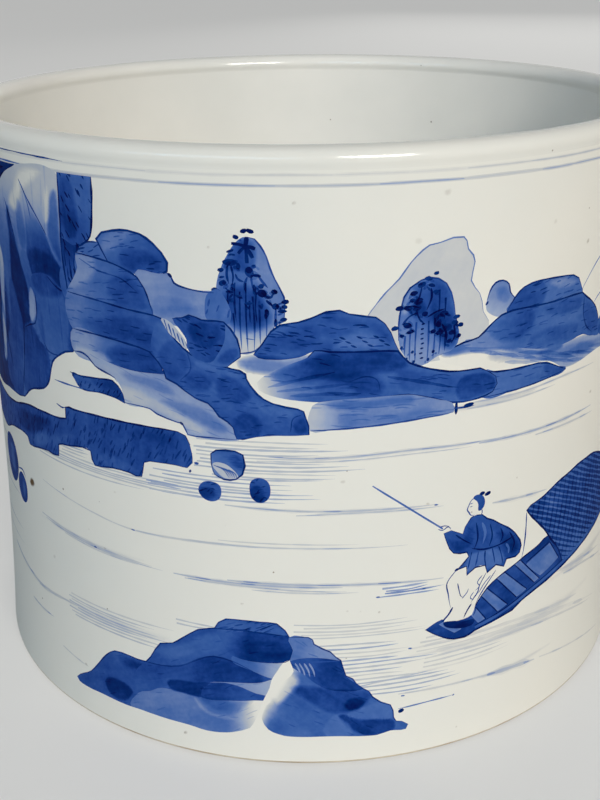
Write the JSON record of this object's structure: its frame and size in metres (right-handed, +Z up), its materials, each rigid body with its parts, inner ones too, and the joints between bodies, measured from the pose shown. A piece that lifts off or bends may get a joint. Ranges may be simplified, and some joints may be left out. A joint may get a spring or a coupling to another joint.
{
  "type": "brush holder pot",
  "caption": "Squat cylindrical porcelain pot with a rounded lip and a recessed base, painted in cobalt blue, that holds brushes upright on a desk.",
  "frame": {"origin": "centre of the foot ring on the table", "axes": "+Z up along the pot's axis, -Y towards the painted front"},
  "size_m": [0.1888, 0.1888, 0.1552],
  "materials": {
    "porcelain": "fired white clay",
    "biscuit": "bare fired clay, matt",
    "glaze": "clear glossy glaze with cobalt painting beneath",
    "rim": "creamy white glossy glaze",
    "cobalt": "cobalt blue line under glaze"
  },
  "bodies": {
    "root": {"wall": "porcelain", "floor_slab": "porcelain", "foot_ring": "biscuit", "rim_glaze": "rim", "outer_glaze": "glaze", "inner_glaze": "glaze", "base_glaze": "glaze", "border_lines": "cobalt"}
  },
  "joints": []
}
